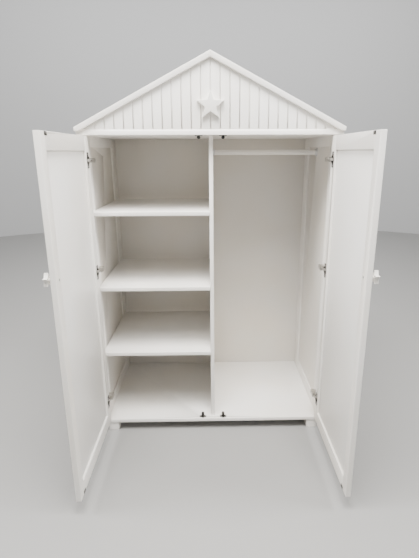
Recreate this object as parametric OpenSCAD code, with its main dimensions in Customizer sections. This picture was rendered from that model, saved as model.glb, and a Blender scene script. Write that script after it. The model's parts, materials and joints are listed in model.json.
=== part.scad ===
// Child's double-door wardrobe with a house-shaped gable over a flat-topped cabinet.
// +Z is up and the front faces -Y. X = 0 is the middle of the cabinet and Z = 0 is the
// surface that the feet stand on. Y = 0 is half way between the back of the cabinet and
// the free edges of the doors, which stand open at a right angle in the rest pose.

/* [Cabinet] */
// Width over the two side frames
cab_w = 1106; // [800:2:1400]
// Depth from the front edges to the back panel's rear face
cab_d = 630; // [500:5:760]
// Height of the top panel's upper face above the floor
cab_h = 1456; // [1200:4:1800]
// Height of the feet
foot_h = 46; // [30:1:90]
// Width and depth of a foot
foot_w = 50; // [35:1:70]
// How far a foot stands back from the front or the rear
foot_setback = 5; // [0:1:30]
// Thickness of the top and bottom panels
panel_t = 18; // [15:1:22]
// Thickness of the back panel
back_t = 6; // [3:1:10]
// How far the back panel reaches into the rear stiles
back_lap = 10; // [6:1:12]

/* [Side frames] */
// Thickness of a side frame
side_t = 20; // [18:1:26]
// Width of the front and rear stiles
side_stile_w = 95; // [60:1:120]
// Width of the bottom rail
side_bottom_rail_w = 76; // [60:1:110]
// Width of the top rail
side_top_rail_w = 64; // [50:1:110]
// Depth of the recess on the inside
side_recess = 8; // [4:1:9]

/* [Frame and panel joints] */
// Thickness of the infill panels and of the tongues that share their grooves
infill_t = 8; // [6:0.5:9]
// How far infill panels and tongues reach into their grooves
tongue = 10; // [6:1:14]
// Room left at the bottom of a groove for the wood to move
groove_room = 1; // [0.5:0.5:2]

/* [Shelves and divider] */
// Thickness of the shelves
shelf_t = 18; // [15:1:22]
// Height of the bottom shelf's upper face above the floor
shelf_1_z = 429; // [380:1:450]
// Distance of the middle shelf's upper face below the top panel
shelf_2_drop = 676; // [640:1:690]
// Distance of the top shelf's upper face below the top panel
shelf_3_drop = 324; // [230:1:400]
// Distance from the cabinet's front to a shelf's front edge
shelf_front = 15.5; // [5:0.5:40]
// Gap between a shelf's rear edge and the back panel
shelf_back_gap = 30; // [10:1:60]
// Thickness of the centre divider
divider_t = 18; // [15:1:22]
// Distance from the cabinet's front to the divider's front edge
divider_front = 28; // [15:1:45]
// Diameter of the shelf support pins
pin_d = 5; // [4:0.5:6]
// Length of a support pin inside the wood, and of its rest under the shelf
pin_len = 9; // [7:1:12]
// Distance of the support pins from a shelf's front and rear edges
pin_inset = 40; // [30:1:60]

/* [Hanging rail] */
// Diameter of the rail
rail_d = 25; // [20:1:30]
// Distance of the rail's centre below the top panel
rail_drop = 71; // [55:1:100]
// Distance of the rail's centre from the cabinet's front
rail_y = 366; // [250:1:400]
// Clearance between the rail and its sockets
rail_gap = 0.3; // [0.2:0.1:1]
// Diameter of a socket's flange
flange_d = 44; // [40:1:60]

/* [Gable] */
// How far the gable board reaches past each side of the cabinet
gable_over = 7; // [0:1:30]
// Thickness of the gable board
gable_t = 20; // [15:1:25]
// Slope of the roof strips
roof_slope = 27; // [15:1:40]
// Height of the eaves' upper edge above the gable board's bottom edge
eaves_h = 31; // [28:1:60]
// Height of the vertical cut at the outer end of a roof strip
eaves_face = 16; // [10:1:20]
// Thickness of a roof strip, measured straight down
strip_t = 24.5; // [18:0.5:30]
// How far a roof strip reaches past the end of the gable board
strip_side = 5; // [0:1:30]
// How far a roof strip stands out in front of the gable board
strip_front = 12; // [5:1:30]
// Distance between the V grooves
groove_pitch = 40; // [30:1:80]
// Depth of a V groove in the gable board
groove_depth = 3; // [1:0.5:5]
// Plain margin below the V grooves
groove_margin = 24; // [10:1:40]
// Outer radius of the gable star
star_r = 60; // [40:1:90]
// Thickness of the gable star
star_t = 17; // [8:1:30]
// Height of the star's centre above the gable board's bottom edge
star_rise = 115; // [100:1:150]
// Width and height of the batten behind the gable board
batten = 30; // [20:1:45]
// Length of the batten
batten_len = 800; // [500:10:1000]

/* [Doors] */
// Thickness of a door
door_t = 20; // [18:1:24]
// Height of a door's bottom edge above the floor
door_bottom = 68; // [50:1:90]
// Gap between a door's top edge and the gable board
door_top_gap = 4; // [2:1:10]
// How far a closed door's hinge edge stays inside the cabinet's width
door_reveal = 7; // [3:0.5:10]
// Gap between the two closed doors
door_gap = 3; // [2:0.5:6]
// Gap between a closed door and the cabinet's front
close_gap = 2; // [1.5:0.5:4]
// Width of the stile on the hinge side
hinge_stile_w = 56; // [50:1:90]
// Width of the stile on the free side
free_stile_w = 46; // [44:1:90]
// Width of a door's top and bottom rails
door_rail_w = 58; // [45:1:100]
// Depth of the recess on a door's inner face
door_recess = 9.5; // [4:0.5:10]
// Depth of the V grooves on a door's outer face
door_groove_depth = 2; // [1:0.5:4]
// Distance of the star knob from the free edge
knob_inset = 31; // [22:1:31]
// Height of the knob above the door's bottom edge
knob_rise = 890; // [600:5:1000]
// Outer radius of the star knob
knob_r = 26; // [18:1:35]
// Thickness of the star knob
knob_t = 16; // [10:1:25]
// Length of the knob's neck
knob_neck = 14; // [8:1:25]

/* [Concealed hinges] */
// Height of the lowest hinge above the door's bottom edge
hinge_low = 120; // [80:1:200]
// Height of the middle hinge above the middle shelf
hinge_mid = 89; // [50:1:200]
// Distance of the highest hinge below the door's top edge
hinge_high = 97; // [80:1:200]
// Diameter of the cup
cup_d = 35; // [32:1:40]
// Depth of the cup in the door
cup_depth = 13; // [12:0.5:14]
// Distance from the door's hinge edge to the cup's rim
cup_edge = 5; // [3:0.5:7]
// Distance of the cup pin from the hinge edge
pin_u = 12; // [11:0.5:14]
// Depth of the cup pin below the door's inner face
pin_v = 7; // [6:0.5:8]
// Inner face of the open door, inwards of the side frame's inner face
open_in = 17; // [14:0.5:20]
// Hinge edge of the open door, in front of the cabinet
open_front = 8; // [6:0.5:12]
// Reach of the arm pin from the line between the cup pin's two places
arm_reach = 27.577; // [26:0.1:30]
// Radial clearance of the links on their pins
pin_clear = 0.05; // [0.02:0.01:0.1]
// Radius of the hinge pins
hinge_pin_r = 1.5; // [1:0.1:2]

/* [Magnetic catches] */
// Distance of a catch from the middle of the cabinet
catch_x = 52; // [40:1:120]
// Width of a catch over its two ears
catch_w = 33; // [31:1:50]
// Diameter of a catch's barrel
catch_barrel_d = 14; // [11:1:15]
// Length of a catch's barrel
catch_d = 32; // [22:1:40]
// Thickness of a catch's ears
catch_ear_t = 2.5; // [1.5:0.5:4]
// Distance from the cabinet's front to the catch housing
catch_front = 4; // [3:0.5:15]
// Thickness of the strike plates on the doors
strike_t = 1.2; // [0.8:0.1:1.5]
// Air left between a strike plate and its magnet when the door is shut
strike_air = 0.1; // [0.05:0.05:0.5]

/* [Hidden] */
$fn = 48;

// paint and metal colours
paint = "white";
nickel = "silver";
dark_metal = "dimgray";

// cabinet levels and planes; y counts inwards from the cabinet's front plane
inner_x = cab_w / 2 - side_t;
floor_z = foot_h + panel_t;
ceil_z = cab_h - panel_t;
back_y = cab_d - back_t;
groove_d = tongue + groove_room;
side_infill_x = inner_x + side_recess;
shelf_2_z = ceil_z - shelf_2_drop;
shelf_3_z = ceil_z - shelf_3_drop;
shelf_tops = [shelf_1_z, shelf_2_z, shelf_3_z];
shelf_rear = back_y - shelf_back_gap;
rail_z = ceil_z - rail_drop;
eps = 0.01;

// doors, in a closed door's own frame: x from the hinge edge, y = 0 on the inner face
door_w = cab_w / 2 - door_reveal - door_gap / 2;
door_top = ceil_z - door_top_gap;
hinge_zs = [door_bottom + hinge_low, shelf_2_z + hinge_mid, door_top - hinge_high];
knob_z = door_bottom + knob_rise;
cup_u = cup_edge + cup_d / 2;
open_x = inner_x - open_in;
strike_u = cab_w / 2 - door_reveal - catch_x;

// the two places of the left cup pin, and the arm pin at the same distance from both
pin_closed = [-(cab_w / 2 - door_reveal - pin_u), -close_gap - pin_v];
pin_open = [-open_x - pin_v, -open_front - pin_u];
pin_way = pin_open - pin_closed;
arm_pin = (pin_closed + pin_open) / 2 + arm_reach * [-pin_way.y, pin_way.x] / norm(pin_way);
// the link's crank, in front of the open door's inner face and back from its pin
link_out = 6.5;
link_back = 5.5;
link_bend = pin_open + [pin_v + link_out, link_back];

// the cabinet's front plane in the part's own frame
reach = open_front + door_w;
front_y = (reach - cab_d) / 2;

// gable
gable_w = cab_w + 2 * gable_over;
strip_end_x = gable_w / 2 + strip_side;
strip_end_z = ceil_z + eaves_h;
apex_z = strip_end_z + strip_end_x * tan(roof_slope);
function under_strip(x) = apex_z - strip_t - x * tan(roof_slope);
eaves_cut_z = strip_end_z - eaves_face;
eaves_cut_x = (apex_z - strip_t - eaves_cut_z) / tan(roof_slope);

// fasteners
plate_screw_dz = 16;
plate_y = 28;
cup_screw_dz = 24;
cup_screw_u = cup_u + 9.5;
dowel_d = 8;
dowel_in_foot = 18;
dowel_in_panel = 12;
confirmat_d = 7;
confirmat_len = 50;
confirmat_ys = [side_stile_w + 45, cab_d - side_stile_w - 45];
divider_screw_ys = [divider_front + 70, back_y - 120];
divider_screw_d = 4;
divider_screw_len = 50;
catch_screw_inset = 4.5;
catch_screw_len = 8;
catch_ear_y = 13;
batten_screw_xs = [-300, 0, 300];
// round marks that the cutter leaves at the lower ends of the gable's grooves
groove_end_d = 7;
groove_end_depth = 4.5;
batten_screw_len = batten + 13;
// sideways step from a screw into the gable to the screw down into the top panel
batten_down_dx = 22;

module from_front() translate([0, front_y, 0]) children();
module mirrored() mirror([1, 0, 0]) children();
module both() {
    children();
    mirrored() children();
}
module block(low, high) translate(low) cube(high - low);

// a rod along +X, +Y or +Z from a point
module rod_x(p, d, len) translate(p) rotate([0, 90, 0]) cylinder(d = d, h = len);
module rod_y(p, d, len) translate(p) rotate([-90, 0, 0]) cylinder(d = d, h = len);
module rod_z(p, d, len) translate(p) cylinder(d = d, h = len);

// a triangular prism along z that cuts a V groove into a face at y, from below (dir 1)
module v_groove(x, y, z0, z1, depth) translate([x, y, z0]) linear_extrude(z1 - z0)
    polygon([[-depth, -eps], [depth, -eps], [0, depth]]);

// a five-pointed star in the XZ plane, from y to y + t
module star(x, y, z, r, t) translate([x, y + t, z]) rotate([90, 0, 0]) linear_extrude(t)
    polygon([for (i = [0:9]) (i % 2 == 0 ? r : 0.42 * r) * [cos(90 + 36 * i), sin(90 + 36 * i)]]);

// ---- side frames ----

// centres of the shelf pins; the same holes are in the left stiles and the divider
module at_shelf_pins() for (top = shelf_tops, y = [shelf_front + pin_inset, shelf_rear - pin_inset])
    translate([0, y, top - shelf_t - 2]) children();

module side_groove(y0, y1, z0, z1)
    block([-side_infill_x - infill_t, y0, z0], [-side_infill_x, y1, z1]);

module side_front_stile(pins) color(paint) from_front() difference() {
    block([-cab_w / 2, 0, foot_h], [-inner_x, side_stile_w, cab_h]);
    side_groove(side_stile_w - groove_d, side_stile_w + 1, foot_h - 1, cab_h + 1);
    for (z = hinge_zs, dz = [-plate_screw_dz, plate_screw_dz])
        rod_x([-inner_x - 12, plate_y, z + dz], 3, 13);
    if (pins) at_shelf_pins() rod_x([-inner_x - pin_len, 0, -pin_d / 2], pin_d, pin_len + 1);
}

module side_rear_stile(pins) color(paint) from_front() difference() {
    block([-cab_w / 2, cab_d - side_stile_w, foot_h], [-inner_x, cab_d, cab_h]);
    side_groove(cab_d - side_stile_w - 1, cab_d - side_stile_w + groove_d, foot_h - 1, cab_h + 1);
    block([-inner_x - back_lap, back_y, foot_h - 1], [-inner_x + 1, cab_d + 1, cab_h + 1]);
    if (pins) at_shelf_pins() rod_x([-inner_x - pin_len, 0, -pin_d / 2], pin_d, pin_len + 1);
}

// a rail between the stiles, with a tongue at each end and a groove along one edge
module side_rail(z0, z1, groove_z, screw_z) color(paint) from_front() difference() {
    union() {
        block([-cab_w / 2, side_stile_w, z0], [-inner_x, cab_d - side_stile_w, z1]);
        side_groove(side_stile_w - tongue, cab_d - side_stile_w + tongue, z0, z1);
    }
    side_groove(0, cab_d, groove_z, groove_z + groove_d + 1);
    for (y = confirmat_ys) {
        rod_x([-cab_w / 2 - 1, y, screw_z], confirmat_d, side_t + 2);
        rod_x([-cab_w / 2 - 1, y, screw_z], confirmat_d + 3, 4);
    }
}
module side_bottom_rail() side_rail(foot_h, foot_h + side_bottom_rail_w,
    foot_h + side_bottom_rail_w - groove_d, foot_h + panel_t / 2);
module side_top_rail() side_rail(cab_h - side_top_rail_w, cab_h,
    cab_h - side_top_rail_w - 1, cab_h - panel_t / 2);

module side_panel() color(paint) from_front() difference() {
    side_groove(side_stile_w - tongue, cab_d - side_stile_w + tongue,
        foot_h + side_bottom_rail_w - tongue, cab_h - side_top_rail_w + tongue);
    at_socket_screws() rod_z([0, 0, -6], 3, 7);
}

module left_front_stile() side_front_stile(true);
module left_rear_stile() side_rear_stile(true);
module left_top_rail() side_top_rail();
module left_bottom_rail() side_bottom_rail();
module left_side_panel() side_panel();
module right_front_stile() mirrored() side_front_stile(false);
module right_rear_stile() mirrored() side_rear_stile(false);
module right_top_rail() mirrored() side_top_rail();
module right_bottom_rail() mirrored() side_bottom_rail();
module right_side_panel() mirrored() side_panel();

// ---- carcass ----

module at_feet() both() for (y = [foot_setback, cab_d - foot_setback - foot_w])
    translate([-inner_x + foot_w / 2, y + foot_w / 2, 0]) children();

// the holes that the confirmat screws make in a panel's ends
module confirmat_bores(z) both() for (y = confirmat_ys)
    rod_x([-cab_w / 2 + 3, y, z], confirmat_d, confirmat_len - 3);

module at_catch_screws(z) both() for (dx = [-1, 1] * (catch_w / 2 - catch_screw_inset))
    translate([-catch_x + dx, catch_front + catch_ear_y, z]) children();

module bottom_panel() color(paint) from_front() difference() {
    block([-inner_x, 0, foot_h], [inner_x, back_y, floor_z]);
    confirmat_bores(foot_h + panel_t / 2);
    for (y = divider_screw_ys) rod_z([0, y, foot_h - 1], divider_screw_d, panel_t + 2);
    at_feet() rod_z([0, 0, foot_h - 1], dowel_d, dowel_in_panel + 1);
    at_catch_screws(floor_z - 10) rod_z([0, 0, 0], 3, 11);
}

module top_panel() color(paint) from_front() difference() {
    block([-inner_x, 0, ceil_z], [inner_x, back_y, cab_h]);
    confirmat_bores(cab_h - panel_t / 2);
    for (y = divider_screw_ys) rod_z([0, y, ceil_z - 1], divider_screw_d, panel_t + 2);
    for (x = batten_screw_xs) rod_z([x + batten_down_dx, batten / 2, cab_h - 13], 4, 14);
    at_catch_screws(ceil_z) rod_z([0, 0, -1], 3, 11);
}

module back_panel() color(paint) from_front()
    block([-inner_x - back_lap, back_y, foot_h], [inner_x + back_lap, cab_d, cab_h]);

module centre_divider() color(paint) from_front() difference() {
    block([-divider_t / 2, divider_front, floor_z], [divider_t / 2, back_y, ceil_z]);
    at_shelf_pins() rod_x([-divider_t / 2 - 1, 0, -pin_d / 2], pin_d, pin_len - 1);
    for (y = divider_screw_ys) {
        rod_z([0, y, floor_z - 1], divider_screw_d, divider_screw_len - panel_t + 1);
        rod_z([0, y, ceil_z - divider_screw_len + panel_t], divider_screw_d, divider_screw_len);
    }
    at_divider_socket_screws() rod_z([0, 0, -6], 3, 7);
}

module shelf(top) color(paint) from_front()
    block([-inner_x, shelf_front, top - shelf_t], [-divider_t / 2, shelf_rear, top]);
module bottom_shelf() shelf(shelf_1_z);
module middle_shelf() shelf(shelf_2_z);
module top_shelf() shelf(shelf_3_z);

// a pin in its hole with a flat rest under the shelf
module shelf_pin(dir, depth) {
    rod_x([dir > 0 ? -depth : 0, 0, -pin_d / 2], pin_d, depth);
    translate([dir > 0 ? 0 : -pin_len, -5, 0]) cube([pin_len, 10, 2]);
    translate([dir > 0 ? 0 : -1.5, -5, -8]) cube([1.5, 10, 8]);
}
module shelf_supports() color(nickel) from_front() at_shelf_pins() {
    translate([-inner_x, 0, 0]) shelf_pin(1, pin_len);
    translate([-divider_t / 2, 0, 0]) shelf_pin(-1, pin_len - 2);
}

// ---- hanging rail ----

socket_wall = 2;
socket_flange_t = 3;
socket_len = 12;
socket_screw_r = 18.5;
// screw axes on the right side panel and on the divider, with +Z out of the wood
module at_socket_ring() for (a = [90, 210, 330]) rotate([0, 0, a]) translate([socket_screw_r, 0, 0])
    children();
module at_socket_screws() translate([-side_infill_x, rail_y, rail_z]) rotate([0, 90, 0])
    at_socket_ring() children();
module at_divider_socket_screws() translate([divider_t / 2, rail_y, rail_z]) rotate([0, 90, 0])
    at_socket_ring() children();

// a flange with a ring that holds the rail's end; +Z points into the cabinet
module socket() difference() {
    union() {
        cylinder(d = flange_d, h = socket_flange_t);
        cylinder(d = rail_d + 2 * (rail_gap + socket_wall), h = socket_len);
    }
    translate([0, 0, socket_flange_t]) cylinder(d = rail_d + 2 * rail_gap, h = socket_len);
    at_socket_ring() translate([0, 0, -1]) cylinder(d = 3, h = socket_flange_t + 2);
}
module rail_sockets() color(nickel) from_front() {
    mirrored() translate([-side_infill_x, rail_y, rail_z]) rotate([0, 90, 0]) socket();
    translate([divider_t / 2, rail_y, rail_z]) rotate([0, 90, 0]) socket();
}
module hanging_rail() color(paint) from_front()
    rod_x([divider_t / 2 + socket_flange_t, rail_y, rail_z - rail_gap], rail_d,
        side_infill_x - divider_t / 2 - 2 * socket_flange_t);

// ---- feet and carcass fasteners ----

module feet() color(paint) from_front() at_feet() difference() {
    translate([-foot_w / 2, -foot_w / 2, 0]) cube([foot_w, foot_w, foot_h]);
    rod_z([0, 0, foot_h - dowel_in_foot], dowel_d, dowel_in_foot + 1);
}
module foot_dowels() color("burlywood") from_front() at_feet()
    rod_z([0, 0, foot_h - dowel_in_foot], dowel_d, dowel_in_foot + dowel_in_panel);

module confirmat(y, z) {
    rod_x([-cab_w / 2, y, z], confirmat_d + 3, 3);
    rod_x([-cab_w / 2 + 3, y, z], confirmat_d, confirmat_len - 3);
}
module carcass_screws() color(nickel) from_front() {
    both() for (y = confirmat_ys, z = [foot_h + panel_t / 2, cab_h - panel_t / 2]) confirmat(y, z);
    for (y = divider_screw_ys) {
        rod_z([0, y, foot_h], divider_screw_d, divider_screw_len);
        rod_z([0, y, cab_h - divider_screw_len], divider_screw_d, divider_screw_len);
    }
}

// ---- gable ----

module gable_outline() polygon([[-gable_w / 2, ceil_z], [gable_w / 2, ceil_z],
    [gable_w / 2, eaves_cut_z], [eaves_cut_x, eaves_cut_z], [0, under_strip(0)],
    [-eaves_cut_x, eaves_cut_z], [-gable_w / 2, eaves_cut_z]]);

module gable_board() color(paint) from_front() difference() {
    rotate([90, 0, 0]) linear_extrude(gable_t) gable_outline();
    for (k = [-floor(gable_w / 2 / groove_pitch) + 1:floor(gable_w / 2 / groove_pitch) - 1]) {
        v_groove(k * groove_pitch, -gable_t, ceil_z + groove_margin,
            under_strip(abs(k) * groove_pitch) + groove_pitch, groove_depth);
        rod_y([k * groove_pitch, -gable_t - 1, ceil_z + groove_margin], groove_end_d, groove_end_depth + 1);
    }
    for (x = batten_screw_xs) rod_y([x, -13, cab_h + batten / 2], 4, 14);
}

module roof_strip() color(paint) from_front() rotate([90, 0, 0])
    linear_extrude(gable_t + strip_front) polygon([[0, apex_z], [0, under_strip(0)],
        [eaves_cut_x, eaves_cut_z], [strip_end_x, eaves_cut_z], [strip_end_x, strip_end_z]]);
module left_roof_strip() mirrored() roof_strip();
module right_roof_strip() roof_strip();

module gable_star() color(paint) from_front()
    star(0, -gable_t - star_t, ceil_z + star_rise, star_r, star_t);

module gable_batten() color(paint) from_front() difference() {
    block([-batten_len / 2, 0, cab_h], [batten_len / 2, batten, cab_h + batten]);
    for (x = batten_screw_xs) {
        rod_y([x, -1, cab_h + batten / 2], 4, batten + 2);
        rod_z([x + batten_down_dx, batten / 2, cab_h - 1], 4, batten + 2);
    }
}
module gable_screws() color(nickel) from_front() for (x = batten_screw_xs) {
    rod_y([x, batten - batten_screw_len, cab_h + batten / 2], 4, batten_screw_len);
    rod_y([x, batten, cab_h + batten / 2], 8, 2.5);
    rod_z([x + batten_down_dx, batten / 2, cab_h + batten - batten_screw_len], 4, batten_screw_len);
    rod_z([x + batten_down_dx, batten / 2, cab_h + batten], 8, 2.5);
}

// ---- magnetic catches ----

magnet_front = -close_gap + strike_t + strike_air;
magnet_d = 9;
magnet_len = 14;
catch_ear_d = 14;
// the barrel sinks a little into the plate that carries the ears
catch_axis_z = catch_ear_t + catch_barrel_d / 2 - 1;
// places of the four catches, each with +Z away from the panel it is screwed to
module at_catches() both() {
    translate([-catch_x, 0, floor_z]) children();
    translate([-catch_x, 0, ceil_z]) mirror([0, 0, 1]) children();
}
module catch_housing() difference() {
    union() {
        rod_y([0, catch_front, catch_axis_z], catch_barrel_d, catch_d);
        block([-catch_w / 2, catch_front + catch_ear_y - catch_ear_d / 2, 0],
            [catch_w / 2, catch_front + catch_ear_y + catch_ear_d / 2, catch_ear_t]);
    }
    rod_y([0, catch_front - 1, catch_axis_z], magnet_d, magnet_len + 1);
    for (dx = [-1, 1] * (catch_w / 2 - catch_screw_inset))
        rod_z([dx, catch_front + catch_ear_y, -1], 3, catch_ear_t + 2);
}
module catch_housings() color(dark_metal) from_front() at_catches() catch_housing();
module catch_magnets() color(nickel) from_front() at_catches()
    rod_y([0, magnet_front, catch_axis_z], magnet_d, catch_front + magnet_len - magnet_front);

// ---- small screws of the catches and rail sockets ----

module screw(len) {
    translate([0, 0, -len]) cylinder(d = 3, h = len);
    cylinder(d = 6, h = 1.6);
}
module small_screws() color(nickel) from_front() {
    at_catch_screws(floor_z + catch_ear_t) screw(catch_ear_t + catch_screw_len);
    at_catch_screws(ceil_z - catch_ear_t) mirror([0, 0, 1]) screw(catch_ear_t + catch_screw_len);
    mirrored() at_socket_screws() translate([0, 0, socket_flange_t]) screw(socket_flange_t + 5);
    at_divider_socket_screws() translate([0, 0, socket_flange_t]) screw(socket_flange_t + 5);
}

// ---- concealed hinges ----

arm_h = 19;
arm_wall = 1.5;
arm_boss = 4;
arm_top_x = arm_pin.x + 6;
arm_base_x = arm_pin.x - 13;
arm_rear = plate_y + 16;
adjuster_y = plate_y + 8;
plate_block_x = arm_pin.x - 1;
arm_boss_h = arm_h - 2 * arm_wall - 0.4;
link_h = 9;
link_wall = 3;
link_boss = 3;
link_room = 0.8;
cup_wall = 0.8;
flange_h = 64;
flange_u = cup_u - 8;
flange_w = 22;
flange_t = 1.2;

module at_hinges() for (z = hinge_zs) translate([0, 0, z]) children();

// the plate screwed to the front stile, with the block that carries the arm
module hinge_plate() difference() {
    union() {
        block([-inner_x, plate_y - 8, -26], [-inner_x + 2, plate_y + 8, 26]);
        block([-inner_x, plate_y - 12, -arm_h / 2 + arm_wall],
            [plate_block_x, plate_y + 14, arm_h / 2 - arm_wall]);
    }
    for (dz = [-plate_screw_dz, plate_screw_dz]) rod_x([-inner_x - 1, plate_y, dz], 3, 4);
    rod_x([plate_block_x - 8, adjuster_y, 0], 4, 9);
}
module hinge_plates() color(nickel) from_front() both() at_hinges() hinge_plate();

// a channel over the block, open towards the side frame, with ears for the arm pin
module hinge_arm() difference() {
    union() {
        block([arm_base_x, arm_pin.y, -arm_h / 2], [arm_top_x, arm_rear, arm_h / 2]);
        block([arm_pin.x, arm_pin.y - arm_boss, -arm_h / 2], [arm_top_x, arm_pin.y + 1, arm_h / 2]);
        rod_z([arm_pin.x, arm_pin.y, -arm_h / 2], 2 * arm_boss, arm_h);
    }
    block([arm_base_x - 9, -9, -arm_h / 2 + arm_wall],
        [arm_top_x - arm_wall, arm_rear + 1, arm_h / 2 - arm_wall]);
    rod_z([arm_pin.x, arm_pin.y, -arm_h], 2 * hinge_pin_r, 2 * arm_h);
    rod_x([arm_top_x - 3, adjuster_y, 0], 4, 4);
}
module hinge_arms() color(nickel) from_front() both() at_hinges() hinge_arm();
module hinge_arm_pins() color(nickel) from_front() both() at_hinges()
    rod_z([arm_pin.x, arm_pin.y, -arm_h / 2], 2 * hinge_pin_r, arm_h);

module hinge_plate_screws() color(nickel) from_front() both() at_hinges() {
    for (dz = [-plate_screw_dz, plate_screw_dz]) translate([-inner_x + 2, plate_y, dz])
        rotate([0, 90, 0]) screw(13);
    rod_x([plate_block_x - 7, adjuster_y, 0], 4, arm_top_x - plate_block_x + 7);
    rod_x([arm_top_x, adjuster_y, 0], 8, 2);
}

// half the strap's width, square to a leg from a to b
function leg_side(a, b) = link_wall / 2 * [a.y - b.y, b.x - a.x] / norm(b - a);

// a cranked link from the arm pin to the cup pin, clear of the door's hinge edge
side_a = leg_side(arm_pin, link_bend);
side_b = leg_side(link_bend, pin_open);
side_mid = (side_a + side_b) / (1 + side_a * side_b / pow(link_wall / 2, 2));
module hinge_link() difference() {
    union() {
        translate([0, 0, -link_h / 2]) linear_extrude(link_h)
            polygon([arm_pin + side_a, link_bend + side_mid, pin_open + side_b,
                pin_open - side_b, link_bend - side_mid, arm_pin - side_a]);
        rod_z([arm_pin.x, arm_pin.y, -arm_boss_h / 2], 2 * link_boss, arm_boss_h);
        rod_z([pin_open.x, pin_open.y, -link_h / 2], 2 * link_boss, link_h);
    }
    for (p = [arm_pin, pin_open])
        rod_z([p.x, p.y, -arm_h], 2 * (hinge_pin_r + pin_clear), 2 * arm_h);
}
module left_hinge_links() color(nickel) from_front() at_hinges() hinge_link();
module right_hinge_links() color(nickel) from_front() mirrored() at_hinges() hinge_link();

// ---- doors ----
// Each piece is drawn on a closed left door: x from the hinge edge, y = 0 on the inner
// face and negative towards the room. open_left() stands it at its rest pose.

module open_left() from_front() translate([-open_x, -open_front, 0]) rotate([0, 0, -90]) children();
module open_right() from_front() mirrored() translate([-open_x, -open_front, 0])
    rotate([0, 0, -90]) children();

infill_y = -door_recess - infill_t;
module door_tongue(x0, x1, z0, z1) block([x0, infill_y, z0], [x1, infill_y + infill_t, z1]);

module cup_holes() at_hinges() {
    translate([cup_u, 0, 0]) rotate([90, 0, 0]) cylinder(d = cup_d, h = cup_depth);
    translate([cup_u, -eps, 0]) rotate([-90, 0, 0]) cylinder(d = cup_d, h = 1);
    for (dz = [-cup_screw_dz, cup_screw_dz])
        translate([cup_screw_u, -9, dz]) rotate([-90, 0, 0]) cylinder(d = 3, h = 10);
}

module door_hinge_stile() color(paint) difference() {
    block([0, -door_t, door_bottom], [hinge_stile_w, 0, door_top]);
    door_tongue(hinge_stile_w - groove_d, hinge_stile_w + 1, door_bottom - 1, door_top + 1);
    cup_holes();
}
strike_w = 22;
strike_h = 12;
module at_strikes() for (z = [door_bottom + 1 + strike_h / 2, door_top - 1 - strike_h / 2])
    translate([strike_u, 0, z]) children();
module door_free_stile() color(paint) difference() {
    block([door_w - free_stile_w, -door_t, door_bottom], [door_w, 0, door_top]);
    door_tongue(0, door_w - free_stile_w + groove_d, door_bottom - 1, door_top + 1);
    rod_y([door_w - knob_inset, -door_t - 1, knob_z], 4, door_t + 2);
}
module door_rail(z0, z1, groove_z) color(paint) difference() {
    union() {
        block([hinge_stile_w, -door_t, z0], [door_w - free_stile_w, 0, z1]);
        door_tongue(hinge_stile_w - tongue, door_w - free_stile_w + tongue, z0, z1);
    }
    door_tongue(0, door_w, groove_z, groove_z + groove_d + 1);
    at_strikes() rod_y([0, -8, 0], 3, 9);
}
module door_top_rail() door_rail(door_top - door_rail_w, door_top, door_top - door_rail_w - 1);
module door_bottom_rail() door_rail(door_bottom, door_bottom + door_rail_w,
    door_bottom + door_rail_w - groove_d);

// the infill panel, V grooved on the outside
module door_panel() color(paint) difference() {
    door_tongue(hinge_stile_w - tongue, door_w - free_stile_w + tongue,
        door_bottom + door_rail_w - tongue, door_top - door_rail_w + tongue);
    for (x = [hinge_stile_w + groove_pitch / 2:groove_pitch:door_w - free_stile_w - 10])
        v_groove(x, infill_y, door_bottom, door_top, door_groove_depth);
}

module hinge_cup() difference() {
    union() {
        translate([cup_u, 0, 0]) rotate([90, 0, 0]) cylinder(d = cup_d, h = cup_depth);
        block([flange_u, 0, -flange_h / 2], [flange_u + flange_w, flange_t, flange_h / 2]);
        translate([cup_u, 0, 0]) rotate([-90, 0, 0]) cylinder(d = cup_d + 4, h = flange_t);
    }
    translate([cup_u, flange_t + 1, 0]) rotate([90, 0, 0])
        cylinder(d = cup_d - 2 * cup_wall, h = cup_depth + flange_t + 1 - cup_wall);
    // a slot in the rim for the link of the open door
    block([0, -4, -link_h / 2 - link_room], [cup_edge + 4, flange_t + 1, link_h / 2 + link_room]);
    rod_z([pin_u, -pin_v, -cup_d / 2], 2 * hinge_pin_r, cup_d);
    for (dz = [-cup_screw_dz, cup_screw_dz])
        rod_y([cup_screw_u, -1, dz], 3, flange_t + 2);
}
cup_pin_len = 2 * sqrt(pow(cup_d / 2 - cup_wall / 2, 2) - pow(cup_u - pin_u + hinge_pin_r, 2));
module hinge_cups() color(nickel) at_hinges() hinge_cup();
module cup_pins() color(nickel) at_hinges()
    rod_z([pin_u, -pin_v, -cup_pin_len / 2], 2 * hinge_pin_r, cup_pin_len);

module strike_plates() color(dark_metal) at_strikes() difference() {
    block([-strike_w / 2, 0, -strike_h / 2], [strike_w / 2, strike_t, strike_h / 2]);
    rod_y([0, -1, 0], 3, strike_t + 2);
}
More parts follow.
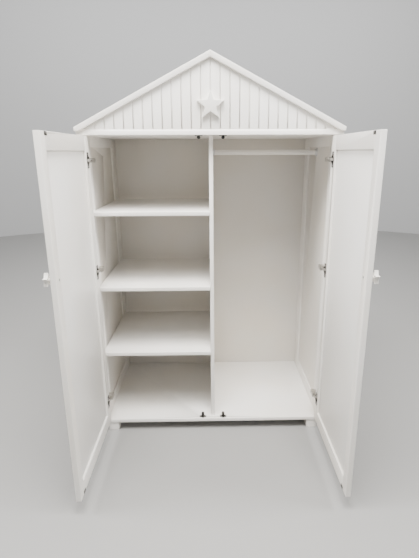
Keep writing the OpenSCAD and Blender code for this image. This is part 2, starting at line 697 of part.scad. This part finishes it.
// cup screws, countersunk strike screws and the knob's through screw
module door_screws() color(nickel) {
    at_hinges() for (dz = [-cup_screw_dz, cup_screw_dz])
        translate([cup_screw_u, flange_t, dz]) rotate([-90, 0, 0]) screw(flange_t + 8);
    at_strikes() rod_y([0, -7, 0], 3, 7 + strike_t);
    rod_y([door_w - knob_inset, -door_t - knob_neck - 8, knob_z], 4, door_t + knob_neck + 8);
    rod_y([door_w - knob_inset, 0, knob_z], 9, 2);
}
module knob_neck_piece() color(paint) difference() {
    rod_y([door_w - knob_inset, -door_t - knob_neck, knob_z], 14, knob_neck);
    rod_y([door_w - knob_inset, -door_t - knob_neck - 1, knob_z], 4, knob_neck + 2);
}
module star_knob() color(paint) difference() {
    star(door_w - knob_inset, -door_t - knob_neck - knob_t, knob_z, knob_r, knob_t);
    rod_y([door_w - knob_inset, -door_t - knob_neck - 8, knob_z], 4, 9);
}

module left_door_hinge_stile() open_left() door_hinge_stile();
module left_door_free_stile() open_left() door_free_stile();
module left_door_top_rail() open_left() door_top_rail();
module left_door_bottom_rail() open_left() door_bottom_rail();
module left_door_panel() open_left() door_panel();
module left_hinge_cups() open_left() hinge_cups();
module left_cup_pins() open_left() cup_pins();
module left_strike_plates() open_left() strike_plates();
module left_door_screws() open_left() door_screws();
module left_knob_neck() open_left() knob_neck_piece();
module left_star_knob() open_left() star_knob();
module right_door_hinge_stile() open_right() door_hinge_stile();
module right_door_free_stile() open_right() door_free_stile();
module right_door_top_rail() open_right() door_top_rail();
module right_door_bottom_rail() open_right() door_bottom_rail();
module right_door_panel() open_right() door_panel();
module right_hinge_cups() open_right() hinge_cups();
module right_cup_pins() open_right() cup_pins();
module right_strike_plates() open_right() strike_plates();
module right_door_screws() open_right() door_screws();
module right_knob_neck() open_right() knob_neck_piece();
module right_star_knob() open_right() star_knob();

left_front_stile();
left_rear_stile();
left_top_rail();
left_bottom_rail();
left_side_panel();
right_front_stile();
right_rear_stile();
right_top_rail();
right_bottom_rail();
right_side_panel();
bottom_panel();
top_panel();
back_panel();
centre_divider();
bottom_shelf();
middle_shelf();
top_shelf();
shelf_supports();
hanging_rail();
rail_sockets();
feet();
foot_dowels();
carcass_screws();
gable_board();
left_roof_strip();
right_roof_strip();
gable_star();
gable_batten();
gable_screws();
catch_housings();
catch_magnets();
small_screws();
hinge_plates();
hinge_arms();
hinge_arm_pins();
hinge_plate_screws();
left_hinge_links();
right_hinge_links();
left_door_hinge_stile();
left_door_free_stile();
left_door_top_rail();
left_door_bottom_rail();
left_door_panel();
left_hinge_cups();
left_cup_pins();
left_strike_plates();
left_door_screws();
left_knob_neck();
left_star_knob();
right_door_hinge_stile();
right_door_free_stile();
right_door_top_rail();
right_door_bottom_rail();
right_door_panel();
right_hinge_cups();
right_cup_pins();
right_strike_plates();
right_door_screws();
right_knob_neck();
right_star_knob();
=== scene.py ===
# %% [markdown]
# # A child's wardrobe with a house gable
#
# The wardrobe is painted joinery: frame-and-panel doors and sides, plain shelves, a V-grooved
# gable board with a star, and small metal fittings. The fixed frame holds every part at its
# real size. This script dresses it: it softens the edges the way paint and sandpaper do, turns
# the screws in full, and gives each surface a procedural finish.

# %% Load the frame
import json
import math
import bmesh
import bpy
from mathutils import Matrix, Vector

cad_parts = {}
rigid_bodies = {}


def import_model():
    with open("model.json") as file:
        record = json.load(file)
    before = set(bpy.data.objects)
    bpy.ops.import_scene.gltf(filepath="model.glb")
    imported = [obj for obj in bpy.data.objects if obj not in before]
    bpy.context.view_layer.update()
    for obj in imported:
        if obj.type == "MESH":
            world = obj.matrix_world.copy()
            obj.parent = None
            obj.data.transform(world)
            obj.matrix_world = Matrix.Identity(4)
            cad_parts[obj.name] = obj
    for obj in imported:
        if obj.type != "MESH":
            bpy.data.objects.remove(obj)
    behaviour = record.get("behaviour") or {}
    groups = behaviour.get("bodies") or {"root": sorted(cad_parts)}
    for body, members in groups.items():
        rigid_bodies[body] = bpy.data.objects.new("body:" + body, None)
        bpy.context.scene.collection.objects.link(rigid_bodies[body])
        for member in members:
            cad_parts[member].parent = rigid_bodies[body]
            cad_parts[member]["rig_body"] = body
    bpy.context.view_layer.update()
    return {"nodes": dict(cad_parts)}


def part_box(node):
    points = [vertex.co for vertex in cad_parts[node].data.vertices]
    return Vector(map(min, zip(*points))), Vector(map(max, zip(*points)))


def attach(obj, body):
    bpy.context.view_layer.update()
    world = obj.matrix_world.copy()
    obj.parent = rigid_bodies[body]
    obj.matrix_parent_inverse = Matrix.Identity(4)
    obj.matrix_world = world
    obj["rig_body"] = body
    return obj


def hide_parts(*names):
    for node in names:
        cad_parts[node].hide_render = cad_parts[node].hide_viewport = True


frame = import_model()
nodes = frame["nodes"]
MM = 0.001
print("nodes in the frame:", len(nodes))

# %% [markdown]
# ## The camera
#
# The camera stands about two metres in front of the cabinet, a little below the eyes of a
# short adult, and looks down. A small lens shift keeps the frame where it belongs without
# turning the camera further. The turn could be given as Euler angles, but a matrix built from
# three direction vectors is easier to follow and has no order of turns to remember.

# %% Camera
CABINET_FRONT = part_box("left_front_stile")[0].y
CAMERA_DISTANCE = 1.95
CAMERA_PLACE = Vector((-0.006, CABINET_FRONT - CAMERA_DISTANCE, 1.370))
CAMERA_HEADING = math.radians(1.142)
CAMERA_DIP = math.radians(16.649)
CAMERA_ROLL = math.radians(-0.192)
SENSOR_WIDTH = 36
LENS = 28.25
LENS_SHIFT = (-0.0171, 0.0067)


def aim(place, heading, dip, roll):
    """A camera matrix from a compass heading, a downward tilt and a roll."""
    ahead = Vector((math.sin(heading), math.cos(heading), 0))
    forward = ahead * math.cos(dip) - Vector((0, 0, math.sin(dip)))
    level = Vector((math.cos(heading), -math.sin(heading), 0))
    above = level.cross(forward)
    right = math.cos(roll) * level + math.sin(roll) * above
    up = math.cos(roll) * above - math.sin(roll) * level
    turn = Matrix((right, up, -forward)).transposed().to_4x4()
    return Matrix.Translation(place) @ turn


camera_data = bpy.data.cameras.new("camera")
camera_data.sensor_width = SENSOR_WIDTH
camera_data.lens = LENS
camera_data.shift_x, camera_data.shift_y = LENS_SHIFT
camera = bpy.data.objects.new("camera", camera_data)
bpy.context.scene.collection.objects.link(camera)
camera.matrix_world = aim(CAMERA_PLACE, CAMERA_HEADING, CAMERA_DIP, CAMERA_ROLL)
bpy.context.scene.camera = camera
print("camera at:", [round(part, 3) for part in CAMERA_PLACE])

# %% [markdown]
# ## Shader maths as Python
#
# A finish is a graph of nodes. It could be wired up one link at a time, but long node trees
# are easier to read as expressions. `Wire` wraps one output socket and adds Math nodes when
# it meets an operator; `Finish` holds one material and has a single method, `add`, that makes
# every other node. Its remaining methods are short names for the nodes used most.

# %% Material helpers


class Wire:
    """One output socket, so that shader maths reads as ordinary Python."""

    def __init__(self, finish, socket):
        self.finish = finish
        self.socket = socket

    def math(self, operation, first, second):
        return self.finish.add("ShaderNodeMath", {"operation": operation}, {0: first, 1: second})

    def __add__(self, other):
        return self.math("ADD", self, other)

    def __mul__(self, other):
        return self.math("MULTIPLY", self, other)

    __radd__ = __add__
    __rmul__ = __mul__


class Finish:
    """A material under construction: one Principled shader and the nodes that feed it."""

    def __init__(self, name, metallic=0.0, coat=0.0):
        self.material = bpy.data.materials.new(name)
        self.material.use_nodes = True
        self.tree = self.material.node_tree
        self.shader = self.tree.nodes["Principled BSDF"]
        self.shader.inputs["Metallic"].default_value = metallic
        self.shader.inputs["Coat Weight"].default_value = coat
        self.place = self.add("ShaderNodeTexCoord", out="Object")

    def add(self, kind, settings=None, inputs=None, out=0):
        """Adds a node: its settings first, then the value or the Wire for each input."""
        node = self.tree.nodes.new(kind)
        for key, value in (settings or {}).items():
            setattr(node, key, value)
        for key, value in (inputs or {}).items():
            if isinstance(value, Wire):
                self.tree.links.new(value.socket, node.inputs[key])
            else:
                node.inputs[key].default_value = value
        return Wire(self, node.outputs[out])

    def noise(self, scale, detail=3.0, stretch=(1, 1, 1), roughness=0.55):
        """Fractal noise in object space; a stretch below 1 draws it out along that axis."""
        where = self.add("ShaderNodeMapping", None, {"Vector": self.place, "Scale": stretch})
        return self.add("ShaderNodeTexNoise", None,
                        {"Vector": where, "Scale": scale, "Detail": detail, "Roughness": roughness})

    def span(self, value, low, high, to_low=0.0, to_high=1.0):
        """Maps low..high onto to_low..to_high and clamps."""
        return self.add("ShaderNodeMapRange", {"clamp": True},
                        {"Value": value, "From Min": low, "From Max": high,
                         "To Min": to_low, "To Max": to_high})

    def mix(self, factor, first, second):
        """A colour between two others."""
        return self.add("ShaderNodeMix", {"data_type": "RGBA"}, {0: factor, 6: first, 7: second}, out=2)

    def feed(self, name, wire):
        """Links a Wire to one input of the shader."""
        self.tree.links.new(wire.socket, self.shader.inputs[name])

    def bump(self, height, distance):
        """Height in 0..1, turned into a shading normal as if it stood distance metres proud."""
        normal = self.add("ShaderNodeBump", None, {"Height": height, "Distance": distance})
        self.feed("Normal", normal)


def grey(value, warmth=0.0):
    """A near-neutral colour: positive warmth adds a little red and takes a little blue."""
    return (value * (1 + warmth), value, value * (1 - 1.6 * warmth), 1.0)


# %% [markdown]
# ## Painted wood
#
# The paint is a sprayed satin white, and white paint that is one flat colour looks like
# plastic. Three scales matter: a cloudy tone over half a metre, the faint raised grain that
# shows through along each board, and the fine orange peel of a spray gun. A wood picture
# would need an unwrap of every board. Noise in object space needs none, and stretching it
# along a board draws the grain. Upright, level and front-to-back boards each get their own
# stretch of the same recipe, and thin infill boards a duller one with less grain. The side
# and back boards are painted darker and warmer still, as painted shade inside the bays.

# %% Paint
GRAIN_STRETCH = {"upright": (1, 1, 0.035), "level": (0.035, 1, 1), "deep": (1, 0.035, 1)}
GRAIN_HEIGHT = 0.22 * MM


def painted(name, run, tone=0.88, warmth=0.022, grain=1.0):
    """Satin paint on a board whose grain runs one way; tone is its brightness."""
    paint = Finish(name, coat=0.06)
    paint.shader.inputs["Coat Roughness"].default_value = 0.25
    cloud = paint.noise(2.6, detail=2.0)
    fibres = paint.noise(240.0, detail=4.0, stretch=GRAIN_STRETCH[run], roughness=0.65)
    peel = paint.noise(700.0, detail=1.5)
    rub = paint.noise(38.0, detail=5.0)
    light = grey(tone, warmth)
    dull = grey(tone * 0.955, warmth * 2)
    tint = paint.mix(paint.span(cloud, 0.35, 0.68), light, dull)
    streak = paint.span(fibres, 0.30, 0.46, 0.35 * grain, 0.0)
    paint.feed("Base Color", paint.mix(streak, tint, grey(tone * 0.93, warmth)))
    paint.feed("Roughness", paint.span(rub, 0.3, 0.7, 0.36, 0.5) + peel * 0.04)
    paint.bump(fibres * (0.55 * grain) + peel * 0.3, GRAIN_HEIGHT)
    return paint.material


finish = {
    "upright": painted("satin_paint_upright", "upright"),
    "level": painted("satin_paint_level", "level"),
    "deep": painted("satin_paint_deep", "deep"),
    "door_board": painted("satin_paint_door_board", "upright", tone=0.87, warmth=0.014, grain=0.45),
    # The side and back boards take a darker, warmer tone: painted shade for the insides of the bays.
    "board": painted("satin_paint_shaded_back_board", "upright", tone=0.76, warmth=0.034, grain=0.45),
}
print("paint recipes:", sorted(finish))

# %% [markdown]
# ## Metal, plastic and bare wood
#
# Nickel plate on pressed steel has soft, broken reflections with fine rolling marks. It could
# be one smooth metal, but on parts this small the change in roughness is what reads as
# plate. The dark fittings and the magnets are the same recipe in a darker colour. The rail's
# sockets are moulded white plastic, and the foot dowels are bare beech.

# %% Metal, plastic and beech


def plated(name, light, dark, rough=0.28):
    """Plated steel that drifts between two tones, with marks along its upright."""
    metal = Finish(name, metallic=1.0)
    marks = metal.noise(1500.0, detail=3.0, stretch=(1, 1, 0.12))
    bloom = metal.noise(160.0, detail=4.0)
    metal.feed("Base Color", metal.mix(metal.span(bloom, 0.38, 0.66), light, dark))
    metal.feed("Roughness", metal.span(marks, 0.3, 0.7, rough, rough + 0.18))
    metal.bump(marks, 0.03 * MM)
    return metal.material


def moulded(name, tone):
    """Moulded plastic with a fine stipple."""
    plastic = Finish(name)
    stipple = plastic.noise(1300.0, detail=1.0)
    haze = plastic.noise(90.0)
    plastic.feed("Base Color", plastic.mix(plastic.span(haze, 0.35, 0.7), grey(tone), grey(tone * 0.95)))
    plastic.feed("Roughness", plastic.span(haze, 0.3, 0.7, 0.38, 0.5))
    plastic.bump(stipple, 0.04 * MM)
    return plastic.material


def bare_wood(name):
    """Unpainted beech: close rings with the short dark flecks of its rays."""
    wood = Finish(name)
    rings = wood.noise(300.0, detail=4.0, stretch=(1, 1, 0.05))
    fleck = wood.noise(900.0, detail=2.0, stretch=(1, 1, 0.2))
    tone = wood.mix(wood.span(rings, 0.35, 0.65), (0.62, 0.42, 0.25, 1), (0.44, 0.27, 0.14, 1))
    wood.feed("Base Color", wood.mix(wood.span(fleck, 0.6, 0.72), tone, (0.3, 0.17, 0.08, 1)))
    wood.feed("Roughness", wood.span(rings, 0.3, 0.7, 0.55, 0.7))
    wood.bump(rings, 0.1 * MM)
    return wood.material


finish["nickel"] = plated("nickel_plate", (0.62, 0.60, 0.56, 1), (0.45, 0.43, 0.40, 1))
finish["zinc"] = plated("zinc_plate", (0.55, 0.55, 0.53, 1), (0.36, 0.35, 0.33, 1), rough=0.32)
finish["gunmetal"] = plated("dark_plate", (0.10, 0.095, 0.09, 1), (0.055, 0.052, 0.05, 1), rough=0.34)
finish["magnet"] = plated("ferrite", (0.10, 0.10, 0.10, 1), (0.05, 0.05, 0.05, 1), rough=0.3)
finish["plastic"] = moulded("white_socket_plastic", 0.74)
finish["beech"] = bare_wood("bare_beech")
print("all recipes:", sorted(finish))

# %% [markdown]
# ## Softened edges
#
# No painted board has a razor edge: it is sanded, then the paint rounds it further. Each part
# keeps its real shape, with its rebates, grooves and holes, and gets a small bevel on its
# long outer edges. A Bevel modifier would also round the rims of every hole, so the edges are
# picked one by one instead. The loose triangles of the frame are merged first, flat areas are
# dissolved into single faces, and only then are the edges chosen: an edge counts if it is
# convex, sharper than fifty degrees and long enough to be seen.

# %% Edge softening
MERGE_DISTANCE = 0.002 * MM
FLAT_ANGLE = math.radians(0.6)
SHARP_ANGLE = math.radians(50)
CREASE_ANGLE = math.radians(38)


def soften(source, ease, shortest, segments):
    """A bmesh copy of a mesh with its long convex edges rounded by ease metres."""
    bm = bmesh.new()
    bm.from_mesh(source)
    bmesh.ops.remove_doubles(bm, verts=bm.verts, dist=MERGE_DISTANCE)
    bmesh.ops.dissolve_limit(bm, angle_limit=FLAT_ANGLE, verts=bm.verts, edges=bm.edges)
    picked = [edge for edge in bm.edges if edge.is_manifold and edge.is_convex
              and edge.calc_face_angle() > SHARP_ANGLE and edge.calc_length() > shortest]
    bmesh.ops.bevel(bm, geom=picked, offset=ease, offset_type="OFFSET", affect="EDGES",
                    segments=segments, profile=0.5, material=-1, clamp_overlap=True)
    bmesh.ops.recalc_face_normals(bm, faces=bm.faces)
    return bm


def settle(bm, name, node, look):
    """Turns a bmesh into a finished piece that rides on a node's body and takes its slot."""
    mesh = bpy.data.meshes.new(name)
    bm.to_mesh(mesh)
    bm.free()
    mesh.shade_smooth()
    mesh.set_sharp_from_angle(angle=CREASE_ANGLE)
    mesh.materials.append(finish[look])
    piece = bpy.data.objects.new(name, mesh)
    bpy.context.scene.collection.objects.link(piece)
    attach(piece, nodes[node]["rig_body"])
    return piece


def eased(node, look, ease, shortest=0.012, segments=3):
    """Replaces a node with its softened copy."""
    piece = settle(soften(nodes[node].data, ease, shortest, segments), node + "_eased", node, look)
    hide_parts(node)


print("edges count as sharp above", round(math.degrees(SHARP_ANGLE)), "degrees")

# %% [markdown]
# ## Cabinet joinery
#
# The side frames, the shelves and the panels are boards with a 1.5 mm eased edge. They could
# be drawn again from their sizes, but the frame's own shapes already carry the rebates and
# the screw holes, so a softened copy is the truer piece. The infill panels hardly show their
# edges, because those sit in the frames' grooves, so they get a finer edge and a darker,
# warmer paint with less grain, which is painted shade for the insides of the bays.

# %% Cabinet joinery
BOARD_EASE = 1.5 * MM
cabinet_boards = {"bottom_panel": "deep", "top_panel": "deep", "centre_divider": "upright",
                  "bottom_shelf": "level", "middle_shelf": "level", "top_shelf": "level",
                  "feet": "upright", "gable_batten": "level"}
for side in ("left", "right"):
    cabinet_boards[side + "_front_stile"] = "upright"
    cabinet_boards[side + "_rear_stile"] = "upright"
    cabinet_boards[side + "_top_rail"] = "deep"
    cabinet_boards[side + "_bottom_rail"] = "deep"
for node, look in cabinet_boards.items():
    eased(node, look, BOARD_EASE)
# These boards get the darker paint, which is painted shade inside the bays.
thin_boards = ("left_side_panel", "right_side_panel", "back_panel")
for node in thin_boards:
    eased(node, "board", 0.5 * MM)
print("cabinet boards:", len(cabinet_boards) + len(thin_boards))

# %% [markdown]
# ## The gable
#
# The gable board is scored with V grooves like tongue-and-groove cladding. Bump could paint
# the grooves on, but they are deep enough to see from the side, so they stay real and only
# long edges are broken. The roof strips stand in front of the board and are planed to a soft
# edge. The star is cut from thick board and sanded well round, so it gets a wide bevel.

# %% Gable
eased("gable_board", "upright", 0.8 * MM, shortest=0.02, segments=2)
roof_strips = ("left_roof_strip", "right_roof_strip")
for node in roof_strips:
    eased(node, "level", 2.0 * MM)
eased("gable_star", "upright", 2.2 * MM, segments=4)
print("gable pieces:", 2 + len(roof_strips))

# %% [markdown]
# ## The doors
#
# A door is two stiles, two rails, an infill panel and a star knob on a short neck. The step
# down from the frame to the panel is what catches the light on the inner face, so those edges
# are eased too. The doors rest open, so their rails run front to back and take that grain.
# The knob is what a hand meets, and it has the widest bevel of all.

# %% Doors
door_boards = {"hinge_stile": "upright", "free_stile": "upright", "top_rail": "deep", "bottom_rail": "deep"}
for side in ("left", "right"):
    for part, look in door_boards.items():
        eased(f"{side}_door_{part}", look, BOARD_EASE)
    eased(f"{side}_door_panel", "door_board", 0.4 * MM, shortest=0.02, segments=2)
    eased(f"{side}_star_knob", "upright", 2.4 * MM, shortest=0.006, segments=4)
    eased(f"{side}_knob_neck", "upright", 0.8 * MM, shortest=0.001, segments=2)
print("boards in each door:", len(door_boards) + 1)

# %% [markdown]
# ## Fittings
#
# The hinges, catches, pins and the rail are small parts of steel, wood and plastic. A sharp
# edge on them would shade as a hard line with no glint. They keep the shapes that the frame
# gives them, with a fine edge break, because pressed steel has a small radius on every edge,
# and that radius is what catches the light.

# %% Fittings
fitting_looks = {"rail_sockets": "plastic", "hanging_rail": "level", "foot_dowels": "beech",
                 "catch_housings": "gunmetal", "catch_magnets": "magnet", "shelf_supports": "zinc",
                 "hinge_plates": "nickel", "hinge_arms": "nickel", "hinge_arm_pins": "zinc",
                 "left_hinge_links": "nickel", "right_hinge_links": "nickel"}
for side in ("left", "right"):
    fitting_looks[side + "_hinge_cups"] = "gunmetal"
    fitting_looks[side + "_cup_pins"] = "zinc"
    fitting_looks[side + "_strike_plates"] = "gunmetal"
for node, look in fitting_looks.items():
    eased(node, look, 0.3 * MM, shortest=0.004, segments=2)
print("fittings:", len(fitting_looks))

# %% [markdown]
# ## Finding the screws
#
# In the frame a screw is a rod, most with a flat disc for a head, and one node holds a whole
# set. Their places could be typed in again, but then a screw would be left behind when a
# board moves. Each rod is measured where it lies instead: its two ends are compared, the
# wider one is the head, and the disc's far side gives the head's depth.

# %% Find the screws
END_BAND = 0.1 * MM
HEAD_OVERHANG = 0.4 * MM


def islands(source):
    """The separate solids of a mesh, each as a list of its corner points."""
    bm = bmesh.new()
    bm.from_mesh(source)
    bmesh.ops.remove_doubles(bm, verts=bm.verts, dist=MERGE_DISTANCE)
    seen, found = set(), []
    for seed in bm.verts:
        if seed in seen:
            continue
        seen.add(seed)
        todo, group = [seed], []
        while todo:
            vert = todo.pop()
            group.append(vert.co.copy())
            for edge in vert.link_edges:
                other = edge.other_vert(vert)
                if other not in seen:
                    seen.add(other)
                    todo.append(other)
        found.append(group)
    bm.free()
    return found


def measured(points):
    """A screw's top, the way it drives, its two radii, its head's depth and its length."""
    low = Vector([min(p[i] for p in points) for i in range(3)])
    high = Vector([max(p[i] for p in points) for i in range(3)])
    size = high - low
    run = max(range(3), key=lambda i: size[i])
    middle = (low + high) / 2

    def reach(point):
        return math.hypot(*[point[i] - middle[i] for i in range(3) if i != run])

    near = max(reach(p) for p in points if p[run] < low[run] + END_BAND)
    far = max(reach(p) for p in points if p[run] > high[run] - END_BAND)
    shank, head = min(near, far), max(near, far)
    axis = Vector((0, 0, 0))
    axis[run] = 1 if near > far else -1
    top = middle.copy()
    top[run] = low[run] if near > far else high[run]
    under_head = [abs(p[run] - top[run]) for p in points if reach(p) > shank + HEAD_OVERHANG]
    return top, axis, shank, head, max(under_head, default=0), size[run]


print("screws on the left door:", len(islands(nodes["left_door_screws"].data)))

# %% [markdown]
# ## Turning the screws
#
# Up close a screw is read by its domed head and the cross that the driver turns. A screw is a
# turned part, so its half outline is spun round the screw's own axis. The crosses could be
# modelled into each head, but the same two bars for every screw are simpler, and one Boolean
# cuts them all out of the whole set, because a Boolean for each screw would be slow.

# %% Turn the screws
SPIN_STEPS = 20
DOME_SHARE = 0.35
RIM_DROP = 0.1 * MM
CROSS_LONG = 1.1
CROSS_WIDE = 0.24
CROSS_SHARE = 0.75
CROSS_SHALLOW, CROSS_DEEP = 0.8 * MM, 1.6 * MM


def screw_outline(shank, head, depth, length):
    """Half the outline of a screw, from the top of its dome down to its point."""
    if depth == 0:
        return [(0, 0), (head, 0), (head, -length + shank), (0, -length)]
    crown = depth * DOME_SHARE
    dome = [(0, 0), (head * 0.55, -crown * 0.25), (head * 0.85, -crown * 0.7), (head, -crown - RIM_DROP)]
    return dome + [(head, -depth), (shank, -depth), (shank, -length + shank), (0, -length)]


def spin_outline(bm, outline, place):
    """Adds the solid of a half outline spun round Z, moved to its place."""
    start = len(bm.verts)
    corners = [bm.verts.new((x, 0, z)) for x, z in outline]
    rims = [bm.edges.new(pair) for pair in zip(corners, corners[1:])]
    bmesh.ops.spin(bm, geom=corners + rims, cent=(0, 0, 0), axis=(0, 0, 1), angle=2 * math.pi,
                   steps=SPIN_STEPS, use_merge=True)
    bm.verts.ensure_lookup_table()
    bmesh.ops.transform(bm, matrix=place, verts=bm.verts[start:])


def add_cross(bm, head, depth, place):
    """Adds the two bars that cut a cross into a screw's head."""
    deep = max(min(depth * CROSS_SHARE, CROSS_DEEP), CROSS_SHALLOW)
    for quarter in (0, 90):
        bar = bmesh.ops.create_cube(bm, size=1)["verts"]
        bmesh.ops.scale(bm, verts=bar, vec=(head * CROSS_LONG, head * CROSS_WIDE, deep * 2))
        bmesh.ops.rotate(bm, verts=bar, matrix=Matrix.Rotation(math.radians(quarter), 3, "Z"))
        bmesh.ops.transform(bm, matrix=place, verts=bar)


def cut_away(piece, cutter):
    """Cuts the bmesh cutter out of a piece with one Boolean, and keeps the result."""
    mesh = bpy.data.meshes.new("crosses")
    cutter.to_mesh(mesh)
    cutter.free()
    tool = bpy.data.objects.new("crosses", mesh)
    bpy.context.scene.collection.objects.link(tool)
    cut = piece.modifiers.new("crosses", "BOOLEAN")
    cut.operation = "DIFFERENCE"
    cut.solver = "EXACT"
    cut.use_self = True
    cut.object = tool
    settled = bpy.data.meshes.new_from_object(piece.evaluated_get(bpy.context.evaluated_depsgraph_get()))
    piece.modifiers.clear()
    piece.data = settled
    bpy.data.objects.remove(tool)


def screw_set(node):
    """Domed, cross-recessed screws in the places of a node's plain rods."""
    bm, cutter = bmesh.new(), bmesh.new()
    for points in islands(nodes[node].data):
        top, axis, shank, head, depth, length = measured(points)
        turn = Vector((0, 0, -1)).rotation_difference(axis).to_matrix().to_4x4()
        place = Matrix.Translation(top) @ turn
        spin_outline(bm, screw_outline(shank, head, depth, length), place)
        add_cross(cutter, head, depth, place)
    bmesh.ops.remove_doubles(bm, verts=bm.verts, dist=MERGE_DISTANCE)
    bmesh.ops.recalc_face_normals(bm, faces=bm.faces)
    piece = settle(bm, node + "_turned", node, "zinc")
    cut_away(piece, cutter)
    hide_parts(node)
    print(node, "faces:", len(piece.data.polygons))


for node in ("small_screws", "hinge_plate_screws", "carcass_screws", "gable_screws",
             "left_door_screws", "right_door_screws"):
    screw_set(node)

# %% [markdown]
# ## Floor and backdrop
#
# The wardrobe is white, so the floor and the wall behind are a pale grey that lets its
# outline read. A flat wall would do for one camera, but from the side or from behind its end
# would show. A round floor with a round wall looks the same from every side. Both are plain,
# because they are not part of the object.

# %% Floor and backdrop
STAGE_RADIUS = 6.5
WALL_HEIGHT = 6.0
WALL_SIDES = 96


def staged(bm, name, colour, rough):
    """Turns a bmesh into a piece of the studio, with its own plain finish."""
    mesh = bpy.data.meshes.new(name)
    bm.to_mesh(mesh)
    bm.free()
    mesh.shade_smooth()
    surface = Finish(name + "_finish")
    surface.shader.inputs["Base Color"].default_value = colour
    surface.shader.inputs["Roughness"].default_value = rough
    mesh.materials.append(surface.material)
    piece = bpy.data.objects.new(name, mesh)
    bpy.context.scene.collection.objects.link(piece)


bm = bmesh.new()
bmesh.ops.create_circle(bm, cap_ends=True, segments=WALL_SIDES, radius=STAGE_RADIUS)
staged(bm, "floor", grey(0.30, 0.012), 0.62)
bm = bmesh.new()
bmesh.ops.create_circle(bm, segments=WALL_SIDES, radius=STAGE_RADIUS)
wall = bmesh.ops.extrude_edge_only(bm, edges=bm.edges[:])
rim = [item for item in wall["geom"] if isinstance(item, bmesh.types.BMVert)]
bmesh.ops.translate(bm, verts=rim, vec=(0, 0, WALL_HEIGHT))
staged(bm, "backdrop", grey(0.44, -0.006), 0.8)
print("stage across:", 2 * STAGE_RADIUS, "m")

# %% [markdown]
# ## Light
#
# One large light in front would reach into the bays and flatten them. Here most of the light
# falls from soft boxes overhead and a little in front, with a row to each side, so that the
# front strips of the shelves and the floor of the open bay are bright and the depths are
# not. A weak fill from the front opens the shadows, and two lights behind keep the backdrop
# and the back of the wardrobe from going dark.

# %% Light


def softbox(name, place, target, width, height, power, colour=(1, 1, 1)):
    """A rectangular area light at a place, turned to face a target; power is in watts."""
    data = bpy.data.lights.new(name, "AREA")
    data.shape = "RECTANGLE"
    data.size = width
    data.size_y = height
    data.energy = power
    data.color = colour
    lamp = bpy.data.objects.new(name, data)
    bpy.context.scene.collection.objects.link(lamp)
    lamp.location = place
    lamp.rotation_euler = (Vector(target) - Vector(place)).to_track_quat("-Z", "Y").to_euler()


WARM_WHITE = (1.0, 0.985, 0.955)
softbox("ceiling_light", (-0.1, -1.15, 4.0), (0, -0.35, 0.75), 2.2, 1.1, 320, WARM_WHITE)
softbox("front_light", (0.0, -2.2, 3.9), (0, -0.1, 0.75), 2.2, 1.0, 105, (1.0, 0.985, 0.96))
for name, side in (("left_row_light", -1), ("right_row_light", 1)):
    softbox(name, (side * 3.2, -0.85, 3.35), (-side * 0.4, -0.35, 0.9), 1.4, 0.8, 150, WARM_WHITE)
softbox("front_fill", (0.3, -4.4, 1.9), (0, 0, 0.9), 3.2, 2.4, 7, (1.0, 0.995, 0.985))
softbox("backdrop_wash", (0, 3.4, 4.2), (0, STAGE_RADIUS, 1.6), 5, 1.2, 220)
softbox("rear_fill", (0, 3.6, 2.4), (0, 0, 0.9), 3, 2, 30)
world = bpy.data.worlds.new("studio")
world.use_nodes = True
sky = world.node_tree.nodes["Background"].inputs
sky["Color"].default_value = (0.90, 0.91, 0.92, 1)
sky["Strength"].default_value = 0.22
bpy.context.scene.world = world
print("lights:", len(bpy.data.lights))

# %% [markdown]
# ## Last checks
#
# The frame parts that are still shown as they came, with no dressed copy in their place,
# are listed.

# %% Parts left as they came
bare = [name for name, node in nodes.items() if not node.hide_render]
print("frame parts still shown as they came:", bare)
